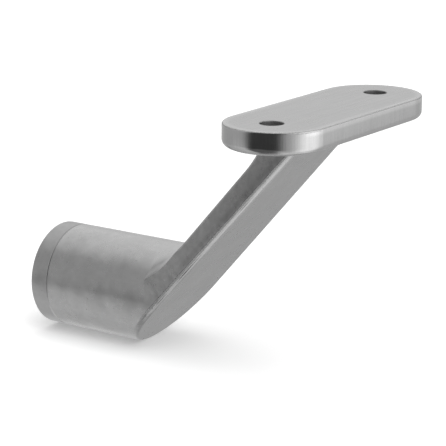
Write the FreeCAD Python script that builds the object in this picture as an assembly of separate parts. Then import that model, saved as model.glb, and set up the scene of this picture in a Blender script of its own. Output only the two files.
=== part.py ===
"""Wall handrail bracket: a satin stainless casting on a turned wall disc, held by a grub screw.

Millimetres. The origin is the centre of the disc's wall face, +X points away from the wall
along the barrel, +Y runs along the handrail and +Z is up.
"""
import FreeCAD, Part
import math
import os

# Overall reach of the bracket
PROJECTION = 75.0            # wall face to the middle of the rail plate
RAIL_HEIGHT = 50.0           # barrel axis up to the face that carries the rail

# Round barrel that comes out of the wall
BARREL_DIAMETER = 25.0
BARREL_REACH = 37.4          # wall face to the sloped outer face, on the barrel's axis
TURNING_STOP = 3.4           # turning stops this far short of the outer face, on the barrel's axis

# Rail plate
PLATE_LENGTH = 63.0
PLATE_WIDTH = 23.4
PLATE_THICKNESS = 5.2
PLATE_TOP_EDGE = 0.45        # rounding round the rail face
PLATE_UNDER_EDGE = 1.6       # rounding round the underside
RAIL_HOLE_DIAMETER = 5.2
RAIL_HOLE_SPACING = 43.4
RAIL_HOLE_BREAK = 0.2        # small bevel at both mouths of a rail hole

# Flat arm between the barrel and the plate
ARM_LANDING = 2.1            # outer face meets the underside this far past the plate's middle
ARM_FOOT_THICKNESS = 5.2     # at the barrel's axis
ARM_TOP_THICKNESS = 6.2      # at the plate's underside
ARM_TOP_WIDTH = 22.0         # along the rail, at the plate's underside
ARM_OUTER_EDGE = 0.9         # rounding along the outer face and round the barrel's cut end
ARM_WALL_EDGE = 0.5          # rounding along the face that looks at the wall
BARREL_BLEND = 8.5           # hollow blend from the barrel's top into the arm
EDGE_RUNOUT = 1.0            # the wall face's edge rounding runs out this far above that blend
WALL_SWEEP = 28.0            # radius that steepens the arm's wall face below the plate
WALL_LANDING = 3.1           # wall face meets the underside this far inside the plate's long edge
PLATE_BLEND = 0.9            # small hollow rounding all round the top of the arm

# Wall disc with its spigot
DISC_THICKNESS = 4.8
SPIGOT_DIAMETER = 18.0
SPIGOT_LENGTH = 12.0
SPIGOT_BEVEL = 0.6
RIM_BREAK = 0.22             # bevel on both rims at the seam, and on the wall rim
WALL_HOLE_DIAMETER = 6.5
HEAD_RECESS_DIAMETER = 12.6
HEAD_RECESS_DEPTH = 10.0
GRUB_GROOVE_DEPTH = 1.0
GRUB_GROOVE_MARGIN = 0.3     # groove is this much wider than the grub screw, on each side

# Socket in the barrel
SOCKET_CLEARANCE = 0.08      # all round the spigot
SOCKET_END_GAP = 0.5         # behind the spigot's end

# Grub screw under the barrel
GRUB_DIAMETER = 5.0
GRUB_RECESS = 0.5            # outer end below the barrel's surface
GRUB_POINT_BEVEL = 0.7
GRUB_END_BEVEL = 0.3
GRUB_CLEARANCE = 0.04        # all round the screw's thread
HEX_KEY = 2.5                # across the flats of the socket
HEX_DEPTH = 2.0

# Reach of the construction solids beyond the finished part
BEYOND = 60.0

BARREL_RADIUS = BARREL_DIAMETER / 2
TURNED_END = BARREL_REACH - TURNING_STOP
UNDERSIDE = RAIL_HEIGHT - PLATE_THICKNESS
ARM_LANDING_X = PROJECTION + ARM_LANDING
OUTER_SLOPE = math.atan2(UNDERSIDE, ARM_LANDING_X - BARREL_REACH)
GRUB_X = DISC_THICKNESS + SPIGOT_LENGTH / 2
GROOVE_RADIUS = SPIGOT_DIAMETER / 2 - GRUB_GROOVE_DEPTH
TOUCH = 1e-4                 # distance within which a point counts as lying on a face

Vector = FreeCAD.Vector
ORIGIN = Vector(0, 0, 0)
X_AXIS = Vector(1, 0, 0)
Y_AXIS = Vector(0, 1, 0)
Z_AXIS = Vector(0, 0, 1)


def direction(angle):
    """Unit vector in the side view, rising from +X by an angle."""
    return Vector(math.cos(angle), 0, math.sin(angle))


def normal(angle):
    """Unit vector square to direction(angle), towards the wall."""
    return Vector(-math.sin(angle), 0, math.cos(angle))


OUTER_FOOT = Vector(BARREL_REACH, 0, 0)
OUTER_TOP = Vector(ARM_LANDING_X, 0, UNDERSIDE)
WALL_FOOT = OUTER_FOOT + normal(OUTER_SLOPE) * ARM_FOOT_THICKNESS
WALL_TOP = OUTER_TOP + normal(OUTER_SLOPE) * ARM_TOP_THICKNESS
WALL_SLOPE = math.atan2(WALL_TOP.z - WALL_FOOT.z, WALL_TOP.x - WALL_FOOT.x)

# Sides that lean inwards from the barrel to the arm's width under the plate
SIDE_LEAN = (math.asin(BARREL_RADIUS / math.hypot(ARM_TOP_WIDTH / 2, UNDERSIDE))
             - math.atan2(ARM_TOP_WIDTH / 2, UNDERSIDE))

# Height inside the plate at which the arm's solid ends
CROWN = UNDERSIDE + PLATE_THICKNESS / 2

# Where the wall face starts to steepen, and where it meets the underside
LANDING = Vector(PROJECTION - PLATE_WIDTH / 2 + WALL_LANDING, 0, UNDERSIDE)
LANDING_OUT = (LANDING - WALL_FOOT).dot(normal(WALL_SLOPE))
LANDING_UP = (LANDING - WALL_FOOT).dot(direction(WALL_SLOPE))
SWEEP_UP = LANDING_UP - math.sqrt(LANDING_OUT * (2 * WALL_SWEEP - LANDING_OUT))
SWEEP_START = WALL_FOOT + direction(WALL_SLOPE) * SWEEP_UP
SWEEP_CENTRE = SWEEP_START + normal(WALL_SLOPE) * WALL_SWEEP

# Where the rounding of the wall face's edges starts to run out, above the blend
BLEND_TOP = BARREL_RADIUS + BARREL_BLEND * (1 - math.cos(WALL_SLOPE))
EDGE_LEAVE_UP = (BLEND_TOP + EDGE_RUNOUT) / math.sin(WALL_SLOPE)
EDGE_LEAVE = WALL_FOOT + direction(WALL_SLOPE) * (EDGE_LEAVE_UP - WALL_FOOT.z / math.sin(WALL_SLOPE))


def prism_along_y(edges, half_width):
    """Solid of a closed side outline, as far to each side of the middle plane."""
    face = Part.Face(Part.Wire(edges))
    face.translate(Y_AXIS * -half_width)
    return face.extrude(Y_AXIS * (2 * half_width))


def chain(corners):
    """Straight edges from corner to corner."""
    return [Part.makeLine(a, b) for a, b in zip(corners, corners[1:])]


def samples(edge):
    """Ends, middle and quarter points of an edge."""
    first, last = edge.ParameterRange
    middle = (first + last) / 2
    return [edge.valueAt(t) for t in (first, (first + middle) / 2, middle, (middle + last) / 2, last)]


def edges_where(shape, test):
    """Edges of a shape whose every sample passes a test."""
    return [edge for edge in shape.Edges if all(test(p) for p in samples(edge))]


def on_plane(point, foot, square):
    """Whether a point lies on the plane through foot."""
    return abs((point - foot).dot(square)) < TOUCH


def on_barrel(point):
    """Whether a point lies on the barrel's round surface."""
    return abs(math.hypot(point.y, point.z) - BARREL_RADIUS) < TOUCH


def beyond_outer_face():
    """Everything past the sloped outer face, to be cut away."""
    along = direction(OUTER_SLOPE) * (2 * BEYOND + PROJECTION)
    out = normal(OUTER_SLOPE) * -(2 * BEYOND + PROJECTION)
    low = OUTER_FOOT - along
    high = OUTER_FOOT + along
    return prism_along_y(chain([low, high, high + out, low + out, low]), 2 * BEYOND + BARREL_DIAMETER)


def arc_of_slopes(centre, radius, low, high):
    """Hollow arc of the wall side that turns from one slope to another."""
    at = [centre - normal(angle) * radius for angle in (low, (low + high) / 2, high)]
    return Part.Arc(*at).toShape()


def slab_outline():
    """Closed side outline of the plain slab: far below the barrel, up both faces and into the plate."""
    down = BEYOND + BARREL_DIAMETER
    knee = (EDGE_LEAVE + SWEEP_START) / 2
    wall_low = WALL_FOOT - direction(WALL_SLOPE) * down
    outer_low = OUTER_FOOT - direction(OUTER_SLOPE) * down
    outer_high = OUTER_TOP + direction(OUTER_SLOPE) * ((CROWN - UNDERSIDE) / math.sin(OUTER_SLOPE))
    return chain([wall_low, knee, Vector(knee.x, 0, CROWN), outer_high, outer_low, wall_low])


def envelope_outline():
    """Closed side outline that holds barrel and arm and follows the arm's wall face up to the plate."""
    landing_slope = math.acos((SWEEP_CENTRE.z - UNDERSIDE) / WALL_SWEEP)
    wall_high = LANDING + direction(landing_slope) * ((CROWN - UNDERSIDE) / math.sin(landing_slope))
    sweep = arc_of_slopes(SWEEP_CENTRE, WALL_SWEEP, WALL_SLOPE, landing_slope)
    leave_centre = EDGE_LEAVE + normal(WALL_SLOPE) * BARREL_BLEND
    leave = arc_of_slopes(leave_centre, BARREL_BLEND, 0, WALL_SLOPE)
    over_barrel = leave_centre - Z_AXIS * BARREL_BLEND
    far = PROJECTION + BEYOND
    round_it = chain([LANDING, wall_high, Vector(far, 0, CROWN), Vector(far, 0, -BARREL_DIAMETER),
                      Vector(-BEYOND, 0, -BARREL_DIAMETER), Vector(-BEYOND, 0, over_barrel.z), over_barrel])
    return round_it + [leave, Part.makeLine(EDGE_LEAVE, SWEEP_START), sweep]


def blended_rod_and_slab():
    """Long rod and wide slab in the arm's slope, with the hollow blend between them."""
    rod = Part.makeCylinder(BARREL_RADIUS, BARREL_REACH + 2 * BEYOND, X_AXIS * -BEYOND, X_AXIS)
    rod.rotate(ORIGIN, X_AXIS, 180)
    rod = rod.cut(beyond_outer_face())
    slab = prism_along_y(slab_outline(), BARREL_RADIUS + 2 * BARREL_BLEND + BARREL_DIAMETER)
    joined = rod.fuse(slab).removeSplitter()
    crease = edges_where(joined, lambda p: on_barrel(p) and on_plane(p, WALL_FOOT, normal(WALL_SLOPE)))
    return joined.makeFillet(BARREL_BLEND, crease)


def front_outline_prism():
    """Prism along X of the front view: the barrel's circle with two straight sides drawn up from it."""
    crown_y = (BARREL_RADIUS - RAIL_HEIGHT * math.sin(SIDE_LEAN)) / math.cos(SIDE_LEAN)
    start = DISC_THICKNESS
    right = Vector(start, BARREL_RADIUS * math.cos(SIDE_LEAN), BARREL_RADIUS * math.sin(SIDE_LEAN))
    left = Vector(start, -right.y, right.z)
    top_right = Vector(start, crown_y, RAIL_HEIGHT)
    top_left = Vector(start, -crown_y, RAIL_HEIGHT)
    circle = Part.Arc(right, Vector(start, 0, -BARREL_RADIUS), left).toShape()
    sides = chain([left, top_left, top_right, right])
    return Part.Face(Part.Wire([circle] + sides)).extrude(X_AXIS * (PROJECTION + BEYOND))


def on_arm_side(point):
    """Whether a point lies on one of the arm's two leaning sides, above the barrel's axis."""
    across = abs(point.y) * math.cos(SIDE_LEAN) + point.z * math.sin(SIDE_LEAN)
    return abs(across - BARREL_RADIUS) < TOUCH and point.z > BARREL_RADIUS


def rounded_envelope():
    """Outer bounds of barrel and arm, with the edges along the wall face rounded."""
    bounds = prism_along_y(envelope_outline(), BARREL_DIAMETER).common(front_outline_prism())
    edges = [edge for edge in edges_where(bounds, on_arm_side)
             if edge.BoundBox.XLength > TOUCH and edge.CenterOfMass.z < CROWN - TOUCH]
    return bounds.makeFillet(ARM_WALL_EDGE, edges)


def turned_barrel():
    """Barrel from the disc to where the turning stops, with the sloped end cut off."""
    length = TURNED_END - DISC_THICKNESS
    barrel = Part.makeCylinder(BARREL_RADIUS, length, X_AXIS * DISC_THICKNESS, X_AXIS)
    return barrel.cut(beyond_outer_face())


def past_turning():
    """Everything beyond the shoulder at which the turning stops."""
    low = Vector(TURNED_END, 0, -BEYOND)
    far = Vector(PROJECTION + BEYOND, 0, RAIL_HEIGHT + BEYOND)
    corners = [low, Vector(far.x, 0, low.z), far, Vector(low.x, 0, far.z), low]
    return prism_along_y(chain(corners), BEYOND + BARREL_DIAMETER)


def rounded_barrel_and_arm():
    """Barrel and arm in one, with the roundings along the arm's long edges."""
    cast = blended_rod_and_slab().common(rounded_envelope()).common(past_turning())
    blank = cast.fuse(turned_barrel()).removeSplitter()
    outer = edges_where(blank, lambda p: on_plane(p, OUTER_FOOT, normal(OUTER_SLOPE)))
    return blank.makeFillet(ARM_OUTER_EDGE, [edge for edge in outer if edge.BoundBox.ZMin < UNDERSIDE])


def stadium(radius, half_spacing, height):
    """Flat face with two straight sides and two round ends, centred under the rail."""
    def at(x, y):
        return Vector(PROJECTION + x, y, height)
    far = Part.Arc(at(radius, half_spacing), at(0, half_spacing + radius), at(-radius, half_spacing)).toShape()
    near = Part.Arc(at(-radius, -half_spacing), at(0, -half_spacing - radius), at(radius, -half_spacing)).toShape()
    left = Part.makeLine(at(-radius, half_spacing), at(-radius, -half_spacing))
    right = Part.makeLine(at(radius, -half_spacing), at(radius, half_spacing))
    return Part.Face(Part.Wire([far, left, near, right]))


def rail_plate():
    """Plate with round ends, its two edges rounded."""
    radius = PLATE_WIDTH / 2
    plate = stadium(radius, PLATE_LENGTH / 2 - radius, UNDERSIDE).extrude(Z_AXIS * PLATE_THICKNESS)
    top = edges_where(plate, lambda p: abs(p.z - RAIL_HEIGHT) < TOUCH)
    plate = plate.makeFillet(PLATE_TOP_EDGE, top)
    under = edges_where(plate, lambda p: abs(p.z - UNDERSIDE) < TOUCH)
    return plate.makeFillet(PLATE_UNDER_EDGE, under)


def rail_hole(side):
    """Cutter for one rail hole, bevelled at both mouths."""
    radius = RAIL_HOLE_DIAMETER / 2
    wide = radius + RAIL_HOLE_BREAK
    outline = [(0, UNDERSIDE), (wide, UNDERSIDE), (radius, UNDERSIDE + RAIL_HOLE_BREAK),
               (radius, RAIL_HEIGHT - RAIL_HOLE_BREAK), (wide, RAIL_HEIGHT), (0, RAIL_HEIGHT)]
    return revolved_z(outline, PROJECTION, side * RAIL_HOLE_SPACING / 2)


def revolved_z(outline, x, y):
    """Solid of revolution about a vertical axis, from (radius, height) corners."""
    corners = [Vector(x + r, y, z) for r, z in outline]
    face = Part.Face(Part.makePolygon(corners + corners[:1]))
    return face.revolve(Vector(x, y, 0), Z_AXIS, 360)


def revolved_x(outline):
    """Solid of revolution about the barrel's axis, from (x, radius) corners."""
    corners = [Vector(x, 0, r) for x, r in outline]
    face = Part.Face(Part.makePolygon(corners + corners[:1]))
    return face.revolve(ORIGIN, X_AXIS, 360)


def shared_edges(joined, first, second):
    """Edges of a joined shape that run where its two pieces meet."""
    def on_both(point):
        spot = Part.Vertex(point)
        return first.distToShape(spot)[0] < TOUCH and second.distToShape(spot)[0] < TOUCH
    return edges_where(joined, on_both)


def socket():
    """Cutter for the spigot's socket, with the bevelled rim at the seam."""
    radius = SPIGOT_DIAMETER / 2 + SOCKET_CLEARANCE
    floor = DISC_THICKNESS + SPIGOT_LENGTH + SOCKET_END_GAP
    return revolved_x([(DISC_THICKNESS, 0), (DISC_THICKNESS, radius), (floor, radius), (floor, 0)])


def rim_bevel():
    """Cutter for the bevel round the barrel's end at the seam."""
    inner = BARREL_RADIUS - RIM_BREAK
    return revolved_x([(DISC_THICKNESS, inner), (DISC_THICKNESS, BARREL_RADIUS + RIM_BREAK),
                       (DISC_THICKNESS + 2 * RIM_BREAK, BARREL_RADIUS + RIM_BREAK)])


def grub_hole():
    """Cutter for the tapped hole from the barrel's underside into the socket."""
    radius = GRUB_DIAMETER / 2 + GRUB_CLEARANCE
    depth = BARREL_RADIUS + GRUB_DIAMETER - GROOVE_RADIUS
    return Part.makeCylinder(radius, depth, Vector(GRUB_X, 0, -GROOVE_RADIUS), Z_AXIS * -1)


def bracket_body():
    """The casting: barrel, arm and rail plate."""
    arm = rounded_barrel_and_arm()
    plate = rail_plate()
    joined = arm.fuse(plate)
    body = joined.makeFillet(PLATE_BLEND, shared_edges(joined, arm, plate))
    for cutter in [rail_hole(-1), rail_hole(1), socket(), rim_bevel(), grub_hole()]:
        body = body.cut(cutter)
    return body


def wall_disc():
    """Turned disc with a spigot, a groove for the grub screw and a stepped screw hole."""
    rim = BARREL_RADIUS
    neck = SPIGOT_DIAMETER / 2
    end = DISC_THICKNESS + SPIGOT_LENGTH
    groove_half = GRUB_DIAMETER / 2 + GRUB_GROOVE_MARGIN
    recess = end - HEAD_RECESS_DEPTH
    outline = [(0, WALL_HOLE_DIAMETER / 2), (0, rim - RIM_BREAK), (RIM_BREAK, rim),
               (DISC_THICKNESS - RIM_BREAK, rim), (DISC_THICKNESS, rim - RIM_BREAK), (DISC_THICKNESS, neck),
               (GRUB_X - groove_half, neck), (GRUB_X - groove_half, GROOVE_RADIUS),
               (GRUB_X + groove_half, GROOVE_RADIUS), (GRUB_X + groove_half, neck),
               (end - SPIGOT_BEVEL, neck), (end, neck - SPIGOT_BEVEL), (end, HEAD_RECESS_DIAMETER / 2),
               (recess, HEAD_RECESS_DIAMETER / 2), (recess, WALL_HOLE_DIAMETER / 2)]
    return revolved_x(outline)


def grub_screw():
    """Set screw with a bevelled point on the spigot's groove and a hexagon socket."""
    radius = GRUB_DIAMETER / 2
    tip = -GROOVE_RADIUS
    end = GRUB_RECESS - BARREL_RADIUS
    screw = revolved_z([(0, tip), (radius - GRUB_POINT_BEVEL, tip), (radius, tip - GRUB_POINT_BEVEL),
                        (radius, end + GRUB_END_BEVEL), (radius - GRUB_END_BEVEL, end), (0, end)], GRUB_X, 0)
    corner = HEX_KEY / 2 / math.cos(math.pi / 6)
    turns = [math.pi / 3 * i for i in range(7)]
    hexagon = [Vector(GRUB_X + corner * math.cos(a), corner * math.sin(a), end) for a in turns]
    return screw.cut(Part.Face(Part.makePolygon(hexagon)).extrude(Z_AXIS * HEX_DEPTH))


def save(name, shape):
    """Write one piece as a STEP file named after its node."""
    shape.exportStep("parts/" + name + ".step")


def main():
    os.makedirs("parts", exist_ok=True)
    save("bracket_body", bracket_body())
    save("wall_disc", wall_disc())
    save("grub_screw", grub_screw())


main()
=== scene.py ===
"""Studio picture of a satin stainless handrail bracket on a white ground.

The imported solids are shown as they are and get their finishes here. Places are in the solids'
own frame, in metres: the origin is the middle of the disc's wall face, +X leads away from the
wall, +Y runs along the handrail and +Z is up. The finishes count in millimetres.
"""
import logging
import math
from dataclasses import dataclass
from enum import Enum
from typing import Any, Mapping, Optional, Sequence, Union

import bpy
from mathutils import Matrix, Vector

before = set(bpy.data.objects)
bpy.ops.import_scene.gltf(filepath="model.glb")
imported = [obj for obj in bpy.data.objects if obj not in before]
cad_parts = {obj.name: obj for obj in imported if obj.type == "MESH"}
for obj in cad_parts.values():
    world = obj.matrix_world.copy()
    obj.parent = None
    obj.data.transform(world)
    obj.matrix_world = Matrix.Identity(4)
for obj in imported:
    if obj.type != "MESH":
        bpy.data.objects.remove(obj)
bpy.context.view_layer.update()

LOG = logging.getLogger("bracket")

MM = 0.001
MM_IN_A_METRE = 1000.0
NOISE_MIDDLE = 0.5
NOISE_SPREAD = 4.0
SIDE_TERMS = (0.5, 0.25, 0.17)  # of -log(1 - v) / 2
TOP_TERMS = (1.0, 0.5, 0.33)  # of -log(1 - v)

Number = Union[int, float]


class Operation(Enum):
    """Arithmetic on single values."""

    ADD = "ADD"
    SUBTRACT = "SUBTRACT"
    MULTIPLY = "MULTIPLY"
    DIVIDE = "DIVIDE"
    POWER = "POWER"
    ABSOLUTE = "ABSOLUTE"
    ARCTANGENT = "ARCTAN2"
    LARGEST = "MAXIMUM"
    SMALLEST = "MINIMUM"


class VectorOperation(Enum):
    """Arithmetic on vectors."""

    ADD = "ADD"
    MULTIPLY = "MULTIPLY"
    SCALE = "SCALE"
    UNIT = "NORMALIZE"


class Coordinates(Enum):
    """What a node tree can be told about the shaded point."""

    PLACE = "Object"
    FACING = "Normal"
    DIRECTION = "Generated"


class Signal:
    """A node's output socket, with Python's operators adding Math nodes to it."""

    def __init__(self, graph: "Graph", socket: Optional[bpy.types.NodeSocket]) -> None:
        """Wrap a socket.

        Args:
            graph: The graph that the socket's node is in.
            socket: The output socket, or None for a node that has none.
        """
        self.graph = graph
        self.socket = socket

    def _with(self, operation: Operation, other: "Value", swapped: bool = False) -> "Signal":
        """Combine with another value through a Math node.

        Args:
            operation: What the node does.
            other: The second operand.
            swapped: Whether the other value comes first.

        Returns:
            The node's output.
        """
        pair = (other, self) if swapped else (self, other)
        return self.graph.arithmetic(operation, *pair)

    def __add__(self, other: "Value") -> "Signal":
        """Sum."""
        return self._with(Operation.ADD, other)

    def __radd__(self, other: "Value") -> "Signal":
        """Sum with the number first."""
        return self._with(Operation.ADD, other, swapped=True)

    def __sub__(self, other: "Value") -> "Signal":
        """Difference."""
        return self._with(Operation.SUBTRACT, other)

    def __rsub__(self, other: "Value") -> "Signal":
        """Difference with the number first."""
        return self._with(Operation.SUBTRACT, other, swapped=True)

    def __mul__(self, other: "Value") -> "Signal":
        """Product."""
        return self._with(Operation.MULTIPLY, other)

    def __rmul__(self, other: "Value") -> "Signal":
        """Product with the number first."""
        return self._with(Operation.MULTIPLY, other, swapped=True)

    def __truediv__(self, other: "Value") -> "Signal":
        """Quotient."""
        return self._with(Operation.DIVIDE, other)

    def __pow__(self, other: "Value") -> "Signal":
        """Power."""
        return self._with(Operation.POWER, other)

    def absolute(self) -> "Signal":
        """Size without its sign."""
        return self.graph.arithmetic(Operation.ABSOLUTE, self)

    def at_least(self, other: "Value") -> "Signal":
        """The larger of this and another value."""
        return self._with(Operation.LARGEST, other)

    def at_most(self, other: "Value") -> "Signal":
        """The smaller of this and another value."""
        return self._with(Operation.SMALLEST, other)

    def rise(self, low: Number, high: Number) -> "Signal":
        """Smooth step over this value.

        Args:
            low: Value at which the step starts at 0.
            high: Value at which it has reached 1. It may be the smaller one.

        Returns:
            The step, from 0 to 1.
        """
        return self.graph.add(
            "ShaderNodeMapRange",
            {"interpolation_type": "SMOOTHSTEP"},
            {"Value": self, "From Min": low, "From Max": high, "To Min": 0.0, "To Max": 1.0},
        )

    def between(self, low: Number, high: Number, soft: Number) -> "Signal":
        """Window over this value with soft ends.

        Args:
            low: Where the window opens.
            high: Where it closes.
            soft: Half the width of each soft end.

        Returns:
            1 inside the window and 0 outside.
        """
        return self.rise(low - soft, low + soft) * self.rise(high + soft, high - soft)


Value = Union[Signal, Number, Sequence[Number]]


def hypotenuse(first: Signal, second: Signal) -> Signal:
    """Length of a line that goes this far along two axes square to each other."""
    return (first ** 2.0 + second ** 2.0) ** 0.5


def series(value: Signal, terms: Sequence[float]) -> Signal:
    """Sum of a value's powers from the first on, each times its own term.

    Args:
        value: The value.
        terms: Factor of the value itself, of its square and so on.

    Returns:
        The sum.
    """
    total: Value = terms[-1]
    for term in reversed(terms[:-1]):
        total = term + value * total
    return value * total


@dataclass(frozen=True)
class Fade:
    """A smooth step over some value.

    Attributes:
        start: Value at which it starts at 0.
        full: Value at which it has reached 1. It may be the smaller one.
    """

    start: float
    full: float

    def over(self, value: Signal, base: float = 0.0) -> Signal:
        """The step over a value, with both its ends counted from a base."""
        return value.rise(base + self.start, base + self.full)


@dataclass(frozen=True)
class Window:
    """A window with soft ends over some value.

    Attributes:
        low: Where it opens.
        high: Where it closes.
        soft: Half the width of each soft end.
    """

    low: float
    high: float
    soft: float

    def over(self, value: Signal) -> Signal:
        """The window over a value."""
        return value.between(self.low, self.high, self.soft)


class Graph:
    """The node tree of a material or a world."""

    def __init__(self, tree: bpy.types.NodeTree) -> None:
        """Take over a node tree and empty it.

        Args:
            tree: The tree.
        """
        self.tree = tree
        tree.nodes.clear()

    def add(
        self,
        kind: str,
        settings: Optional[Mapping[str, Any]] = None,
        inputs: Optional[Mapping[Union[str, int], Value]] = None,
        output: Union[str, int] = 0,
    ) -> Signal:
        """Add one node.

        Args:
            kind: The node's type.
            settings: Its properties, set before its sockets.
            inputs: Values or signals by socket name or number.
            output: Which output to hand back.

        Returns:
            That output.
        """
        node = self.tree.nodes.new(kind)
        for name, value in (settings or {}).items():
            setattr(node, name, value)
        for name, value in (inputs or {}).items():
            self._feed(node.inputs[name], value)
        return Signal(self, node.outputs[output] if len(node.outputs) else None)

    def _feed(self, socket: bpy.types.NodeSocket, value: Value) -> None:
        """Link a signal to a socket, or write a plain value on it.

        Args:
            socket: The input socket.
            value: What it gets.
        """
        if isinstance(value, Signal):
            self.tree.links.new(value.socket, socket)
        else:
            socket.default_value = value

    def arithmetic(self, operation: Operation, *operands: Value) -> Signal:
        """Combine single values through a Math node.

        Args:
            operation: What the node does.
            operands: Its operands, in order.

        Returns:
            The node's output.
        """
        settings = {"operation": operation.value}
        return self.add("ShaderNodeMath", settings, dict(enumerate(operands)))

    def vector_arithmetic(
        self, operation: VectorOperation, first: Value, second: Optional[Value] = None
    ) -> Signal:
        """Combine vectors through a Vector Math node.

        Args:
            operation: What the node does.
            first: The first vector.
            second: The second vector, or the factor of a scaling.

        Returns:
            The node's output.
        """
        inputs: dict[Union[str, int], Value] = {0: first}
        if second is not None:
            inputs["Scale" if operation is VectorOperation.SCALE else 1] = second
        return self.add("ShaderNodeVectorMath", {"operation": operation.value}, inputs)

    def mix(self, factor: Value, low: Value, high: Value) -> Signal:
        """Blend two plain values by a factor."""
        inputs = {"Factor": factor, "A": low, "B": high}
        return self.add("ShaderNodeMix", {"data_type": "FLOAT"}, inputs)

    def grey(self, level: Value) -> Signal:
        """Colour with the same level of red, green and blue."""
        return self.add("ShaderNodeCombineXYZ", None, {"X": level, "Y": level, "Z": level})

    def split(self, vector: Signal) -> tuple[Signal, Signal, Signal]:
        """Take a vector apart.

        Args:
            vector: The vector.

        Returns:
            Its three numbers.
        """
        node = self.add("ShaderNodeSeparateXYZ", None, {"Vector": vector}).socket.node
        x, y, z = (Signal(self, output) for output in node.outputs)
        return x, y, z

    def slope_angle(self, rise: Signal, run: Signal) -> Signal:
        """Angle of a slope in degrees, from -180 to 180."""
        return self.arithmetic(Operation.ARCTANGENT, rise, run) * math.degrees(1.0)

    def coordinates(self, kind: Coordinates) -> Signal:
        """Place on the object in metres, direction that it faces there, or direction of sight."""
        return self.add("ShaderNodeTexCoord", output=kind.value)

    def seen_by_camera(self) -> Signal:
        """1 where the camera looks straight at the point, 0 for light and reflections."""
        return self.add("ShaderNodeLightPath", output="Is Camera Ray")

    def noise(self, vector: Signal, stretch: Sequence[float], detail: float) -> Signal:
        """Noise with its own scale along each axis.

        Args:
            vector: Where it is read.
            stretch: Waves per unit along X, Y and Z.
            detail: How many finer octaves it has.

        Returns:
            The noise, about 0 to 1.
        """
        scaled = self.vector_arithmetic(VectorOperation.MULTIPLY, vector, tuple(stretch))
        inputs = {"Vector": scaled, "Scale": 1.0, "Detail": detail}
        return self.add("ShaderNodeTexNoise", None, inputs)


@dataclass(frozen=True)
class Sizes:
    """Sizes of the bracket that its finishes follow, in millimetres.

    Attributes:
        rail_face: Height of the face that carries the rail.
        plate_thickness: Thickness of the rail plate.
        plate_middle: Distance from the wall to the middle of the plate.
        plate_length: Length of the plate along the rail.
        plate_width: Width of the plate.
        plate_top_edge: Radius of the plate's upper rim.
        hole_spacing: Distance between the two rail holes.
        hole_radius: Radius of a rail hole.
        barrel_radius: Radius of the barrel and the disc.
        disc_thickness: Thickness of the disc, up to the seam.
        reach: Wall to the sloped outer face, on the barrel's axis.
        landing: Wall to where the outer face meets the plate.
        turned_end: Wall to where the barrel stops being round.
        arm_half_width: Half the arm's width, level with the barrel's axis.
        flank_lean: How much narrower the arm gets to each side per millimetre of height.
    """

    rail_face: float = 50.0
    plate_thickness: float = 5.2
    plate_middle: float = 75.0
    plate_length: float = 63.0
    plate_width: float = 23.4
    plate_top_edge: float = 0.45
    hole_spacing: float = 43.4
    hole_radius: float = 2.6
    barrel_radius: float = 12.5
    disc_thickness: float = 4.8
    reach: float = 37.4
    landing: float = 77.1
    turned_end: float = 34.0
    arm_half_width: float = 12.507
    flank_lean: float = 0.0337

    @property
    def underside(self) -> float:
        """Height of the plate's underside."""
        return self.rail_face - self.plate_thickness

    @property
    def plate_mid_height(self) -> float:
        """Height of the middle of the plate's thickness."""
        return self.rail_face - self.plate_thickness / 2

    @property
    def half_straight(self) -> float:
        """Half the straight part of the plate's long sides."""
        return (self.plate_length - self.plate_width) / 2

    @property
    def slope(self) -> float:
        """Slope of the outer face above level, in radians."""
        return math.atan2(self.underside, self.landing - self.reach)


@dataclass(frozen=True)
class Waves:
    """Noise of its own wavelength along each axis.

    Attributes:
        lengths: Wavelengths along X, Y and Z, in millimetres.
        detail: How many finer octaves it has.
    """

    lengths: tuple[float, float, float]
    detail: float


class Pattern(Enum):
    """Uneven patterns that casting, grinding and brushing leave."""

    CLOUDS = Waves((5.0, 5.0, 5.0), 3.0)
    GRAIN = Waves((1.3, 1.3, 1.3), 1.0)
    PITS = Waves((0.8, 0.8, 0.8), 1.0)
    BRUSHED_TOP = Waves((0.45, 24.0, 0.45), 3.0)
    BRUSHED_SIDE = Waves((0.4, 0.4, 7.0), 2.0)
    HAZE = Waves((4.0, 4.0, 4.0), 3.0)
    GRIT = Waves((0.9, 0.9, 0.9), 1.0)
    SWELL = Waves((7.0, 7.0, 7.0), 1.0)
    DENTS = Waves((1.6, 1.6, 1.6), 2.0)
    SCRATCHES = Waves((0.45, 24.0, 0.45), 2.0)
    WANDER = Waves((9.0, 9.0, 30.0), 1.0)


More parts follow.
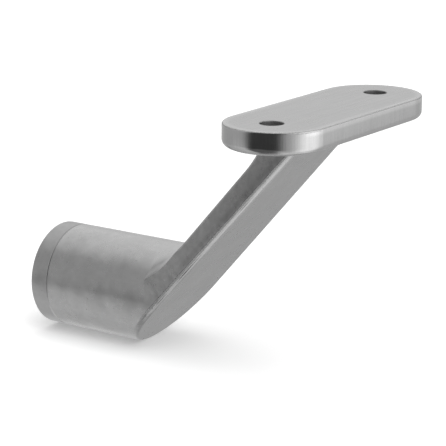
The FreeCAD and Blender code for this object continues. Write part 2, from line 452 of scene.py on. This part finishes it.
class Surface:
    """Where a shaded point lies on the bracket, in millimetres, and which part of it that is."""

    # Over the height above the face that carries the rail
    TOP_SKIN = Fade(-0.7, -0.2)
    TOP_RIM = Fade(-0.16, -0.1)
    TOP_OF_SIDE = Fade(-1.5, -0.7)
    BELOW_TOP = Fade(0.0, -0.06)
    # Over the height above the plate's underside
    IN_PLATE = Fade(-0.2, 0.2)
    ON_PLATE_SIDE = Fade(0.1, 0.9)
    BELOW_PLATE = Fade(-0.1, -0.6)
    NEAR_UNDERSIDE = Fade(-0.9, -0.1)
    OUT_OF_PLATE = Fade(0.1, 0.0)
    # Over the height above the barrel's axis
    EDGE_HIGHLIGHT_HEIGHT = Fade(-4.0, 28.0)
    ROUNDING_HEIGHT = Fade(-7.0, 1.0)
    FLAT_HEIGHT = Fade(-9.5, -3.5)
    LINE_HEIGHT = Fade(-2.0, 14.0)
    SHADE_HEIGHT = Fade(14.0, 30.0)
    WALL_EDGE_HEIGHT = Fade(14.0, 17.0)
    ROOT_HEIGHT = Fade(22.0, 16.0)
    CROWN_HEIGHT = Fade(7.0, 12.0)
    SEAM_SHADE = Window(1.5, 9.0, 3.0)
    # Over the distance outwards from the barrel's skin
    OFF_BARREL = Fade(0.02, 0.3)
    IN_SEAM = Fade(-0.06, -0.16)
    # Over the distance from the wall, from the seam's plane and from where the barrel stops
    # being round
    ROOT_SPAN = Window(27.0, 37.0, 1.0)
    ON_DISC = Fade(0.0, -0.2)
    PAST_TURNING = Fade(-1.5, 4.0)
    # Over the distance to either side of the seam, inwards from the arm's flanks, and outwards
    # from the plate's outline and from a hole's wall
    NEAR_SEAM = Fade(0.25, 0.1)
    NEAR_FLANK = Fade(1.75, 1.15)
    NEAR_OUTLINE = Fade(-2.2, -0.2)
    NEAR_HOLE = Fade(0.30, 0.2)
    # Over the depth under the sloped outer face
    EDGE_DEPTH = Fade(1.3, 0.8)
    FLAT_DEPTH = Fade(1.3, 1.05)
    LINE_DEPTH = Window(1.55, 2.6, 0.4)
    SHADE_DEPTH = Fade(8.0, 2.0)
    # Over the part of the direction that points straight up, or up or down
    LOOKS_UP = Fade(0.6, 0.9)
    LEANS_UP = Fade(0.15, 0.5)
    NOT_UPRIGHT = Fade(0.5, 0.8)
    LEVEL_FACE = Fade(0.85, 0.98)
    # Over the part of the direction that points along the rail or across it
    LOOKS_ALONG = Fade(0.75, 0.95)
    LEANS_ALONG = Fade(0.25, 0.5)
    LOOKS_ACROSS = Fade(0.85, 0.98)
    # Over the part of the direction that points out of the sloped outer face
    SQUARE_ON = Fade(0.96, 0.995)
    ROUNDED_OFF = Fade(0.99, 0.9)
    TURNED_OUT = Fade(-0.3, -0.1)
    TURNED_IN = Fade(-0.25, -0.5)
    # Over the strength of its own pattern
    PIT = Fade(0.95, 1.15)

    def __init__(self, graph: Graph, sizes: Sizes) -> None:
        """Set up the signals that the finishes share.

        Args:
            graph: Node tree of the material.
            sizes: Sizes of the bracket.
        """
        self.graph = graph
        self.sizes = sizes
        self.place = graph.vector_arithmetic(
            VectorOperation.SCALE, graph.coordinates(Coordinates.PLACE), MM_IN_A_METRE
        )
        self.facing = graph.coordinates(Coordinates.FACING)
        self.x, self.y, self.z = graph.split(self.place)
        self.across, self.along, self.upward = graph.split(self.facing)

    def pattern(self, pattern: Pattern) -> Signal:
        """Uneven pattern about zero.

        Args:
            pattern: Which one.

        Returns:
            Its strength, about -1 to 1.
        """
        waves = pattern.value
        stretch = tuple(1.0 / length for length in waves.lengths)
        noise = self.graph.noise(self.place, stretch, waves.detail)
        return (noise - NOISE_MIDDLE) * NOISE_SPREAD

    def off_axis(self) -> Signal:
        """Distance from the barrel's axis."""
        return hypotenuse(self.y, self.z)

    def off_outer(self) -> Signal:
        """Depth under the sloped outer face."""
        slope = self.sizes.slope
        return self.z * math.cos(slope) - (self.x - self.sizes.reach) * math.sin(slope)

    def off_flank(self) -> Signal:
        """How far the point lies inside the arm's flanks."""
        return self.sizes.arm_half_width - self.sizes.flank_lean * self.z - self.y.absolute()

    def squareness(self) -> Signal:
        """Cosine of the angle between the surface's direction and the outer face's."""
        slope = self.sizes.slope
        return self.across * math.sin(slope) - self.upward * math.cos(slope)

    def plate(self) -> Signal:
        """1 on the whole plate."""
        return self.IN_PLATE.over(self.z, self.sizes.underside)

    def cast_skin(self) -> Signal:
        """1 on everything below the plate."""
        return 1.0 - self.plate()

    def plate_top(self) -> Signal:
        """1 on the face that carries the rail."""
        near_top = self.TOP_SKIN.over(self.z, self.sizes.rail_face)
        return near_top * self.LOOKS_UP.over(self.upward)

    def plate_side(self) -> Signal:
        """1 on the plate's upright edge."""
        high_enough = self.ON_PLATE_SIDE.over(self.z, self.sizes.underside)
        return high_enough * (1.0 - self.NOT_UPRIGHT.over(self.upward.absolute()))

    def rim_highlight(self) -> Signal:
        """Strip along the rim of the face that carries the rail, where a highlight is painted.

        Returns:
            A signal that rises to 1 towards the rim.
        """
        sizes = self.sizes
        past_straight = (self.y.absolute() - sizes.half_straight).at_least(0.0)
        off_middle = hypotenuse(self.x - sizes.plate_middle, past_straight)
        near_outline = self.NEAR_OUTLINE.over(off_middle, sizes.plate_width / 2)
        return near_outline * self.TOP_RIM.over(self.z, sizes.rail_face)

    def long_side_highlight(self) -> Signal:
        """1 along the top of the plate's two long sides, where a highlight is painted."""
        looks_across = self.LOOKS_ACROSS.over(self.across.absolute())
        return looks_across * self.TOP_OF_SIDE.over(self.z, self.sizes.rail_face)

    def rail_hole(self) -> Signal:
        """Walls of the two rail holes.

        Returns:
            1 on them.
        """
        sizes = self.sizes
        beside = self.y.absolute() - sizes.hole_spacing / 2
        off_hole = hypotenuse(self.x - sizes.plate_middle, beside)
        below_top = self.BELOW_TOP.over(self.z, sizes.rail_face)
        return self.NEAR_HOLE.over(off_hole, sizes.hole_radius) * below_top * self.plate()

    def under_plate(self) -> Signal:
        """Top of the arm, close below the plate.

        Returns:
            1 there.
        """
        low = self.sizes.underside
        close_below = self.NEAR_UNDERSIDE.over(self.z, low) * self.OUT_OF_PLATE.over(self.z, low)
        return close_below * (1.0 - self.LEVEL_FACE.over(self.upward.absolute()))

    def outer_face(self) -> Signal:
        """1 on the sloped face that looks away from the wall."""
        return self.SQUARE_ON.over(self.squareness())

    def arm_side(self) -> Signal:
        """The two flanks of the arm.

        Returns:
            1 on them.
        """
        below = self.BELOW_PLATE.over(self.z, self.sizes.underside)
        beyond = self.PAST_TURNING.over(self.x, self.sizes.turned_end)
        return self.LOOKS_ALONG.over(self.along.absolute()) * below * beyond

    def arm_edge(self) -> Signal:
        """Rounded edge between the arm's flank and its outer face.

        Returns:
            1 on it.
        """
        near = self.NEAR_FLANK.over(self.off_flank()) * self.EDGE_DEPTH.over(self.off_outer())
        return near * self.TURNED_OUT.over(self.squareness()) * self.cast_skin()

    def arm_rounding(self) -> Signal:
        """1 on the rounded part of that edge alone, above the arm's foot."""
        rounded = self.arm_edge() * self.ROUNDED_OFF.over(self.squareness())
        return rounded * self.ROUNDING_HEIGHT.over(self.z)

    def ground_flat(self) -> Signal:
        """Where that edge looks as if it was ground to one flat.

        Returns:
            1 there.
        """
        band = self.FLAT_DEPTH.over(self.off_outer()) * self.TURNED_OUT.over(self.squareness())
        return band * self.FLAT_HEIGHT.over(self.z) * self.cast_skin()

    def flank_line_shade(self) -> Signal:
        """Painted shade in a line on the arm's flanks just inside that edge.

        Returns:
            1 on it.
        """
        line = self.LINE_DEPTH.over(self.off_outer()) * self.LINE_HEIGHT.over(self.z)
        return line * self.arm_side()

    def flank_shade(self) -> Signal:
        """1 on the flanks' upper part, towards the outer face."""
        shade = self.SHADE_DEPTH.over(self.off_outer()) * self.SHADE_HEIGHT.over(self.z)
        return shade * self.arm_side()

    def wall_edge(self) -> Signal:
        """Rounded edge between the arm's flank and the face that looks at the wall.

        Returns:
            1 on it.
        """
        turned = self.TURNED_IN.over(self.squareness())
        rounded = turned * self.LEANS_ALONG.over(self.along.absolute())
        return rounded * self.WALL_EDGE_HEIGHT.over(self.z) * self.cast_skin()

    def swept_root(self) -> Signal:
        """Upper part of the blend between barrel and arm.

        Returns:
            1 on it.
        """
        outside = self.OFF_BARREL.over(self.off_axis(), self.sizes.barrel_radius)
        leaning = outside * self.LEANS_UP.over(self.upward)
        return leaning * self.ROOT_SPAN.over(self.x) * self.ROOT_HEIGHT.over(self.z)

    def disc_crown(self) -> Signal:
        """1 on the top of the disc's rim, where shade is painted."""
        on_disc = self.ON_DISC.over(self.x, self.sizes.disc_thickness)
        return self.CROWN_HEIGHT.over(self.z) * on_disc

    def seam(self) -> Signal:
        """1 in the groove between disc and barrel."""
        near_seam = self.NEAR_SEAM.over((self.x - self.sizes.disc_thickness).absolute())
        return near_seam * self.IN_SEAM.over(self.off_axis(), self.sizes.barrel_radius)


@dataclass(frozen=True)
class Shades:
    """How much lighter or darker each mark makes the steel, as a share of its tone.

    Attributes:
        clouds: Soft clouds everywhere.
        cast_clouds: More of them on the cast skin.
        grain: Fine grain everywhere.
        cast_grain: More of it on the cast skin.
        flank_grain: More of it on the arm's flanks.
        calm_grain: Share of the grain that the outer face lacks.
        brushed_top: Brush lines on the face that carries the rail.
        brushed_side: Brush lines on the plate's upright edge.
        pits: Darkness of a pit.
        calm_pits: Share of the pits' darkness that the outer face lacks.
        edge_highlight: Painted highlight on the arm's outer edge, stronger towards its top.
        edge_foot_shade: Painted shade on that edge at its foot.
        rim_highlight: Painted highlight along the rim of the face that carries the rail.
        flank_line_shade: Painted shade in a line beside the arm's outer edge.
        flank_shade: Shade on the flanks' upper part.
        wall_edge: Shade on the arm's wall-side edges.
        swept_root: Shade on the blend between barrel and arm.
        long_side_highlight: Painted highlight along the top of the plate's long sides.
        side_light_gradient: Painted light on the plate's upright edge, gaining per millimetre of
            height.
        under_plate: Shade close below the plate.
        rail_hole: Shade on the walls of the rail holes.
        seam_shade: Shade on the darker stretch of the seam.
        seam_light: Light all along the seam, which takes away from that shade.
    """

    clouds: float = 0.015
    cast_clouds: float = 0.035
    grain: float = 0.012
    cast_grain: float = 0.02
    flank_grain: float = 0.05
    calm_grain: float = 0.65
    brushed_top: float = 0.07
    brushed_side: float = 0.04
    pits: float = 0.25
    calm_pits: float = 0.9
    edge_highlight: float = 0.35
    edge_foot_shade: float = 0.2
    rim_highlight: float = 0.22
    flank_line_shade: float = 0.12
    flank_shade: float = 0.13
    wall_edge: float = 0.3
    swept_root: float = 0.27
    long_side_highlight: float = 0.22
    side_light_gradient: float = 0.015
    under_plate: float = 0.45
    rail_hole: float = 0.35
    seam_shade: float = 0.7
    seam_light: float = 0.15


@dataclass(frozen=True)
class Heights:
    """How high the small hills and scratches of the steel stand, in millimetres.

    Attributes:
        swell: Slow waves of the cast skin.
        calm_swell: How much lower they are on the arm's flanks.
        dents: Small dents of the cast skin.
        flank_dents: How much deeper they are on the arm's flanks.
        calm: Share of waves and dents that the outer face lacks.
        scratches: Brush lines on the face that carries the rail.
        side_scratches: Brush lines on the plate's upright edge.
        wander: Slow waves of the plate's upright edge.
        crown: Fall of the upright edge per square millimetre from its middle.
        pillow: Fall of the flanks per square millimetre from their middle line.
        pillow_depth: Depth of that line under the outer face.
    """

    swell: float = 0.07
    calm_swell: float = 0.055
    dents: float = 0.004
    flank_dents: float = 0.003
    calm: float = 0.85
    scratches: float = 0.002
    side_scratches: float = 0.0018
    wander: float = 0.02
    crown: float = 0.012
    pillow: float = 0.004
    pillow_depth: float = 4.0


@dataclass(frozen=True)
class SatinSteel:
    """Satin stainless steel, ground and brushed as each part of the bracket is.

    Attributes:
        name: Name of the material.
        tone: Reflectance of the bare steel.
        brightest: Reflectance that no mark goes beyond.
        satin: Roughness of the ground and turned faces.
        polish: Roughness of the plate's upright edge.
        hole_finish: Roughness of the rail holes' walls.
        haze: How much soft clouds change the roughness.
        grit: How much fine grain changes it.
        rubbed: How much smoother the arm's outer edge is.
        crown_shade: Painted shade on the top of the disc's rim, as a share of the light it gives
            back.
        flat_steepness: Tangent of the ground flat's angle to the arm's flank.
        shades: How light or dark each mark is.
        heights: How high the hills and scratches stand.
    """

    name: str
    tone: float = 0.62
    brightest: float = 0.95
    satin: float = 0.29
    polish: float = 0.16
    hole_finish: float = 0.45
    haze: float = 0.025
    grit: float = 0.02
    rubbed: float = 0.05
    crown_shade: float = 0.0
    flat_steepness: float = 1.55
    shades: Shades = Shades()
    heights: Heights = Heights()

    def make(self, sizes: Sizes) -> bpy.types.Material:
        """Build the material.

        Args:
            sizes: Sizes of the bracket.

        Returns:
            The material.
        """
        material = bpy.data.materials.new(self.name)
        material.use_nodes = True
        graph = Graph(material.node_tree)
        surface = Surface(graph, sizes)
        inputs = {
            "Base Color": graph.grey(self.reflectance(surface)),
            "Metallic": 1.0,
            "Roughness": self.roughness(surface),
            "Normal": self.relief(surface),
        }
        shader = graph.add("ShaderNodeBsdfPrincipled", None, inputs)
        graph.add("ShaderNodeOutputMaterial", None, {"Surface": shader})
        return material

    def reflectance(self, surface: Surface) -> Signal:
        """Share of the light that the steel gives back.

        Args:
            surface: Where the point lies.

        Returns:
            The share.
        """
        shades = self.shades
        level = self.skin(surface) * self.edge_light(surface) * self.arm_shade(surface)
        # Painted shade on the top of the disc's rim.
        level = level * (1.0 - self.crown_shade * surface.disc_crown())
        # Painted light on the plate's upright edge, lighter towards its top.
        climb = (surface.z - surface.sizes.plate_mid_height) * surface.plate_side()
        # Painted highlight along the top of the long sides.
        light_top = surface.long_side_highlight() * shades.long_side_highlight
        level = level * (1.0 + light_top + climb * shades.side_light_gradient)
        level = level * (1.0 - surface.under_plate() * shades.under_plate)
        level = level * (1.0 - surface.rail_hole() * shades.rail_hole)
        shade = surface.SEAM_SHADE.over(surface.z) * shades.seam_shade - shades.seam_light
        level = level * (1.0 - surface.seam() * shade)
        return (self.tone * level).at_most(self.brightest)

    def skin(self, surface: Surface) -> Signal:
        """Light and dark of clouds, grain, brush lines and pits.

        Args:
            surface: Where the point lies.

        Returns:
            Factor on the tone.
        """
        shades = self.shades
        cast = surface.cast_skin()
        cloud = shades.clouds + cast * shades.cast_clouds
        grain = shades.grain + cast * shades.cast_grain
        grain = grain + surface.arm_side() * shades.flank_grain
        grain = grain * (1.0 - surface.outer_face() * shades.calm_grain)
        lines = surface.pattern(Pattern.BRUSHED_TOP) * surface.plate_top()
        side_lines = surface.pattern(Pattern.BRUSHED_SIDE) * surface.plate_side()
        level = 1.0 + surface.pattern(Pattern.CLOUDS) * cloud
        level = level + surface.pattern(Pattern.GRAIN) * grain
        level = level + lines * shades.brushed_top + side_lines * shades.brushed_side
        pits = surface.PIT.over(surface.pattern(Pattern.PITS)) * cast
        pits = pits * (1.0 - surface.outer_face() * shades.calm_pits)
        return level * (1.0 - pits * shades.pits)

    def edge_light(self, surface: Surface) -> Signal:
        """Painted highlight and shade on the arm's outer edge, and painted highlight on the
        plate's upper rim.

        Args:
            surface: Where the point lies.

        Returns:
            Factor on the tone.
        """
        shades = self.shades
        # Painted highlight on the arm's outer edge, lighter towards its top, and painted shade at
        # its foot.
        edge_paint = surface.EDGE_HIGHLIGHT_HEIGHT.over(surface.z) * shades.edge_highlight - shades.edge_foot_shade
        gain = surface.arm_edge() * edge_paint.at_least(0.0)
        # Painted highlight along the plate's upper rim.
        gain = gain + surface.rim_highlight() * shades.rim_highlight
        loss = surface.arm_rounding() * edge_paint.at_most(0.0)
        return (1.0 + gain) * (1.0 + loss)

    def arm_shade(self, surface: Surface) -> Signal:
        """Shades on the arm's flanks, its wall-side edges and its root.

        Args:
            surface: Where the point lies.

        Returns:
            Factor on the tone.
        """
        shades = self.shades
        # Painted shade in a line on the flanks beside the outer edge, and painted shade on their
        # upper part.
        line = surface.flank_line_shade() * shades.flank_line_shade
        flank = 1.0 - line - surface.flank_shade() * shades.flank_shade
        edge = surface.wall_edge() * shades.wall_edge
        return flank * (1.0 - edge - surface.swept_root() * shades.swept_root)

    def roughness(self, surface: Surface) -> Signal:
        """How far the finish spreads a reflection.

        Args:
            surface: Where the point lies.

        Returns:
            The roughness.
        """
        mix = surface.graph.mix
        rough = mix(surface.plate_side(), self.satin, self.polish)
        rough = rough + surface.pattern(Pattern.HAZE) * self.haze
        rough = rough + surface.pattern(Pattern.GRIT) * self.grit
        rough = rough - surface.arm_edge() * self.rubbed
        return mix(surface.rail_hole(), rough, self.hole_finish)

    def relief(self, surface: Surface) -> Signal:
        """Small hills and scratches left by casting, turning and brushing.

        Args:
            surface: Where the point lies.

        Returns:
            The bent normal.
        """
        heights = self.heights
        flank, side = surface.arm_side(), surface.plate_side()
        rough_cast = surface.cast_skin() * (1.0 - surface.outer_face() * heights.calm)
        swell = surface.pattern(Pattern.SWELL) * (heights.swell - flank * heights.calm_swell)
        dents = surface.pattern(Pattern.DENTS) * (heights.dents + flank * heights.flank_dents)
        lines = surface.pattern(Pattern.SCRATCHES) * heights.scratches * surface.plate_top()
        side_lines = surface.pattern(Pattern.BRUSHED_SIDE) * heights.side_scratches
        wander = surface.pattern(Pattern.WANDER) * heights.wander
        crown = (surface.z - surface.sizes.plate_mid_height) ** 2.0 * heights.crown
        pillow = (surface.off_outer() - heights.pillow_depth) ** 2.0 * heights.pillow
        height = (swell + dents) * rough_cast + lines + (side_lines + wander - crown) * side
        height = height - pillow * flank + self.sharp_rim(surface)
        normal = self.ground_corner(surface)
        inputs = {"Height": height, "Distance": MM, "Strength": 1.0, "Normal": normal}
        return surface.graph.add("ShaderNodeBump", None, inputs)

    def ground_corner(self, surface: Surface) -> Signal:
        """Direction of the surface, with the arm's rounded outer edge turned to one ground flat.

        Args:
            surface: Where the point lies.

        Returns:
            The direction.
        """
        graph, slope = surface.graph, surface.sizes.slope
        lacking = surface.along.absolute() * self.flat_steepness - surface.squareness()
        amount = lacking.at_least(0.0) * surface.ground_flat()
        outward = (math.sin(slope), 0.0, -math.cos(slope))
        turn = graph.vector_arithmetic(VectorOperation.SCALE, outward, amount)
        bent = graph.vector_arithmetic(VectorOperation.ADD, surface.facing, turn)
        bent = graph.vector_arithmetic(VectorOperation.UNIT, bent)
        spaces = {"vector_type": "NORMAL", "convert_from": "OBJECT", "convert_to": "WORLD"}
        return graph.add("ShaderNodeVectorTransform", spaces, {"Vector": bent})

    def sharp_rim(self, surface: Surface) -> Signal:
        """Height that draws the plate's upper rim as a crisp corner.

        It keeps the side upright for the first part of the rounding and the top level for the
        rest. The heights for this are logarithms, so the first terms of their series are summed.

        Args:
            surface: Where the point lies.

        Returns:
            The height over the rounded rim.
        """
        radius = surface.sizes.plate_top_edge
        up = (surface.z - (surface.sizes.rail_face - radius)) / radius
        up = up.at_least(0.0).at_most(1.0)
        rising = series(up ** 2.0, SIDE_TERMS)
        falling = series(1.0 - up, TOP_TERMS)
        return rising.at_most(falling) * radius


@dataclass(frozen=True)
class Piece:
    """One of the bracket's solids, shown as it is packed.

    Attributes:
        node: Name of the solid.
        finish: Its finish.
        sizes: Sizes that the finish follows.
    """

    node: str
    finish: SatinSteel
    sizes: Sizes = Sizes()

    def dress(self) -> None:
        """Give the solid its finish and report it."""
        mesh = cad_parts[self.node].data
        mesh.materials.clear()
        mesh.materials.append(self.finish.make(self.sizes))
        LOG.info("%s: %s", self.node, self.finish.name)


@dataclass(frozen=True)
class Casting(Piece):
    """Barrel, arm and rail plate in one."""

    node: str = "bracket_body"
    finish: SatinSteel = SatinSteel("satin casting")


@dataclass(frozen=True)
class WallDisc(Piece):
    """Turned disc at the wall."""

    node: str = "wall_disc"
    finish: SatinSteel = SatinSteel("turned disc", tone=0.60, satin=0.34, crown_shade=0.14)


@dataclass(frozen=True)
class GrubScrew(Piece):
    """Screw in the barrel's underside that locks the casting on the disc."""

    node: str = "grub_screw"
    finish: SatinSteel = SatinSteel("screw steel", tone=0.5, satin=0.3)


@dataclass(frozen=True)
class Panel:
    """One soft-edged sheet of the light tent, placed by the direction in which the object sees it.

    Attributes:
        name: What it stands for.
        azimuth: Degrees from +X towards +Y.
        elevation: Degrees above level.
        half_size: Half its width and half its height, in degrees.
        soft: Half the width of its soft edge across and along, in degrees.
        level: How bright it is.
    """

    name: str
    azimuth: float
    elevation: float
    half_size: tuple[float, float]
    soft: tuple[float, float]
    level: float

    def over(self, graph: Graph, x: Signal, y: Signal, climb: Signal, light: Value) -> Signal:
        """Lay the sheet over the light behind it.

        Args:
            graph: Node tree of the world.
            x: X of the direction.
            y: Y of the direction.
            climb: Elevation of the direction, in degrees.
            light: The light behind the sheet.

        Returns:
            The light with the sheet in front.
        """
        turn = math.radians(self.azimuth)
        ahead = x * math.cos(turn) + y * math.sin(turn)
        aside = y * math.cos(turn) - x * math.sin(turn)
        swing = graph.slope_angle(aside, ahead)
        wide, high = self.half_size
        soft_wide, soft_high = self.soft
        inside = swing.between(-wide, wide, soft_wide)
        inside = inside * (climb - self.elevation).between(-high, high, soft_high)
        return graph.mix(inside, light, self.level)


TENT_PANELS = (
    Panel("roof", 163.0, 46.0, (86.0, 52.0), (25.0, 6.0), 0.785),
    Panel("left wall", -152.0, 29.0, (42.0, 23.0), (30.0, 9.0), 0.345),
    Panel("foot of the left wall", -168.0, -10.0, (38.0, 11.0), (12.0, 6.0), 0.43),
    Panel("dark ceiling in front", -80.0, 34.0, (28.0, 34.0), (10.0, 10.0), 0.06),
    Panel("dark room behind the camera", -84.4, -12.0, (42.0, 22.0), (18.4, 11.0), 0.047),
    Panel("window", 20.1, -24.0, (28.9, 34.6), (21.0, 25.5), 1.245),
    Panel("left strip", -143.0, -35.5, (20.0, 21.0), (8.0, 5.0), 0.60),
    Panel("shade behind", 106.0, -35.0, (13.8, 11.0), (15.0, 9.0), 0.41),
    Panel("light behind", 140.0, -37.0, (12.0, 11.0), (10.0, 8.0), 0.70),
    Panel("table", -60.0, -80.0, (180.0, 18.0), (0.5, 8.0), 0.50),
    Panel("shade below", 105.0, -70.0, (50.0, 12.0), (15.0, 5.0), 0.28),
    Panel("dark floor in front", -88.0, -50.0, (35.0, 22.0), (10.0, 8.0), 0.12),
    Panel("sheet underfoot", 5.0, -76.0, (42.0, 16.0), (12.0, 6.0), 0.75),
    Panel("back of the sweep", 127.0, 6.7, (31.0, 9.0), (12.0, 6.0), 0.63),
)


@dataclass(frozen=True)
class Tent:
    """Light tent round the object, seen in reflections and as light, but not by the camera.

    Attributes:
        walls: How bright it is where no sheet hangs.
        backdrop: How bright the camera sees what lies behind the object.
        panels: Its sheets, each in front of those before it.
    """

    walls: float = 0.517
    backdrop: float = 1.0
    panels: tuple[Panel, ...] = TENT_PANELS

    def build(self) -> None:
        """Put the tent up as the scene's world."""
        world = bpy.data.worlds.new("tent")
        world.use_nodes = True
        bpy.context.scene.world = world
        graph = Graph(world.node_tree)
        x, y, z = graph.split(graph.coordinates(Coordinates.DIRECTION))
        climb = graph.slope_angle(z, hypotenuse(x, y))
        light: Value = self.walls
        for panel in self.panels:
            light = panel.over(graph, x, y, climb, light)
            LOG.info("tent: %s", panel.name)
        shown = graph.grey(graph.mix(graph.seen_by_camera(), light, self.backdrop))
        background = graph.add("ShaderNodeBackground", None, {"Color": shown})
        graph.add("ShaderNodeOutputWorld", None, {"Surface": background})


@dataclass(frozen=True)
class Lamp:
    """Wide soft lamp for the ground and its shadow; the steel doesn't mirror it.

    Attributes:
        name: Which lamp it is.
        place: Where it hangs, in metres.
        power: Its power in watts.
        width: Its diameter in metres.
        target: Point that it is turned to, in metres.
    """

    name: str
    place: tuple[float, float, float]
    power: float
    width: float = 0.9
    target: tuple[float, float, float] = (0.04, 0.0, 0.0)

    def build(self) -> None:
        """Hang the lamp."""
        data = bpy.data.lights.new(self.name, "AREA")
        data.shape = "DISK"
        data.size = self.width
        data.energy = self.power
        lamp = bpy.data.objects.new(self.name, data)
        lamp.location = Vector(self.place)
        sight = Vector(self.target) - lamp.location
        lamp.rotation_euler = sight.to_track_quat("-Z", "Y").to_euler()
        lamp.visible_glossy = False
        bpy.context.scene.collection.objects.link(lamp)
        LOG.info("lamp: %s", self.name)


@dataclass(frozen=True)
class Ground:
    """Plain white ground that keeps the object's shadow, casts none and is clear from below.

    Attributes:
        height: Where it lies, in metres.
        half_size: Half its width, in metres.
        tone: Its reflectance.
        lift: How much whiter the camera sees it than it is lit.
        far_lift: How much more it is whitened far from the object.
        far: How far from the origin that starts and is full, in metres.
    """

    height: float = -12.6 * MM
    half_size: float = 3.0
    tone: float = 0.9
    lift: float = 0.20
    far_lift: float = 0.5
    far: Fade = Fade(0.15, 0.5)

    def build(self) -> None:
        """Lay the ground."""
        half = self.half_size
        corners = [(-half, -half, 0.0), (half, -half, 0.0), (half, half, 0.0), (-half, half, 0.0)]
        mesh = bpy.data.meshes.new("ground")
        mesh.from_pydata(corners, [], [(0, 1, 2, 3)])
        mesh.materials.append(self.make_material())
        ground = bpy.data.objects.new("ground", mesh)
        ground.location.z = self.height
        bpy.context.scene.collection.objects.link(ground)
        ground.visible_glossy = False
        ground.visible_shadow = False

    def make_material(self) -> bpy.types.Material:
        """Build the white of the ground.

        Returns:
            The material.
        """
        material = bpy.data.materials.new("white ground")
        material.use_nodes = True
        graph = Graph(material.node_tree)
        colour = (self.tone, self.tone, self.tone, 1.0)
        matt = graph.add("ShaderNodeBsdfDiffuse", None, {"Color": colour})
        x, y, _ = graph.split(graph.coordinates(Coordinates.PLACE))
        lift = self.lift + self.far.over(hypotenuse(x, y)) * self.far_lift
        lift = graph.grey(graph.seen_by_camera() * lift)
        glow = graph.add("ShaderNodeEmission", None, {"Color": lift})
        both = graph.add("ShaderNodeAddShader", None, {0: matt, 1: glow})
        clear = graph.add("ShaderNodeBsdfTransparent")
        beneath = graph.add("ShaderNodeNewGeometry", output="Backfacing")
        sheet = graph.add("ShaderNodeMixShader", None, {0: beneath, 1: both, 2: clear})
        graph.add("ShaderNodeOutputMaterial", None, {"Surface": sheet})
        return material


@dataclass(frozen=True)
class Camera:
    """Camera at the photograph's angle.

    Attributes:
        place: Where it stands, in metres.
        azimuth: Direction it looks along, in degrees from +Y towards -X.
        drop: Degrees that it looks down.
        roll: Degrees that it is turned about its own axis.
        lens: Focal length in millimetres.
        sensor: Width of its sensor in millimetres.
        nearest: How near it still sees, in metres.
    """

    place: tuple[float, float, float] = (0.296542, -0.363407, 0.1337)
    azimuth: float = 34.391
    drop: float = 14.537
    roll: float = 0.308
    lens: float = 158.38
    sensor: float = 36.0
    nearest: float = 0.01

    def build(self) -> None:
        """Place the camera and make it the scene's."""
        data = bpy.data.cameras.new("camera")
        data.lens = self.lens
        data.sensor_width = self.sensor
        data.clip_start = self.nearest
        camera = bpy.data.objects.new("camera", data)
        bpy.context.scene.collection.objects.link(camera)
        camera.matrix_world = Matrix.Translation(self.place) @ self.turned().to_4x4()
        bpy.context.scene.camera = camera

    def turned(self) -> Matrix:
        """Work out how the camera is turned.

        Returns:
            The turn, whose columns point right, up and back.
        """
        azimuth, drop, roll = (math.radians(a) for a in (self.azimuth, self.drop, self.roll))
        level = Vector((math.cos(azimuth), math.sin(azimuth), 0.0))
        forward = Vector((-math.sin(azimuth), math.cos(azimuth), 0.0))
        ahead = forward * math.cos(drop) - Vector((0.0, 0.0, math.sin(drop)))
        above = level.cross(ahead)
        right = level * math.cos(roll) + above * math.sin(roll)
        up = above * math.cos(roll) - level * math.sin(roll)
        return Matrix((right, up, -ahead)).transposed()


@dataclass(frozen=True)
class Studio:
    """Camera, light and ground.

    Attributes:
        camera: The camera.
        tent: Light that the steel mirrors.
        lamps: Light for the ground.
        ground: The ground.
    """

    camera: Camera = Camera()
    tent: Tent = Tent()
    lamps: tuple[Lamp, ...] = (
        Lamp("top light", (0.28, 0.06, 0.80), 3.4),
        Lamp("front light", (0.50, -0.55, 0.70), 5.6),
    )
    ground: Ground = Ground()

    def build(self) -> None:
        """Build all of it, with colours shown as they are."""
        bpy.context.scene.view_settings.view_transform = "Standard"
        for part in (self.camera, self.tent, *self.lamps, self.ground):
            part.build()


def main() -> None:
    """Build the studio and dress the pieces."""
    logging.basicConfig(level=logging.INFO, format="%(message)s")
    Studio().build()
    for piece in (Casting(), WallDisc(), GrubScrew()):
        piece.dress()


if __name__ == "__main__":
    main()
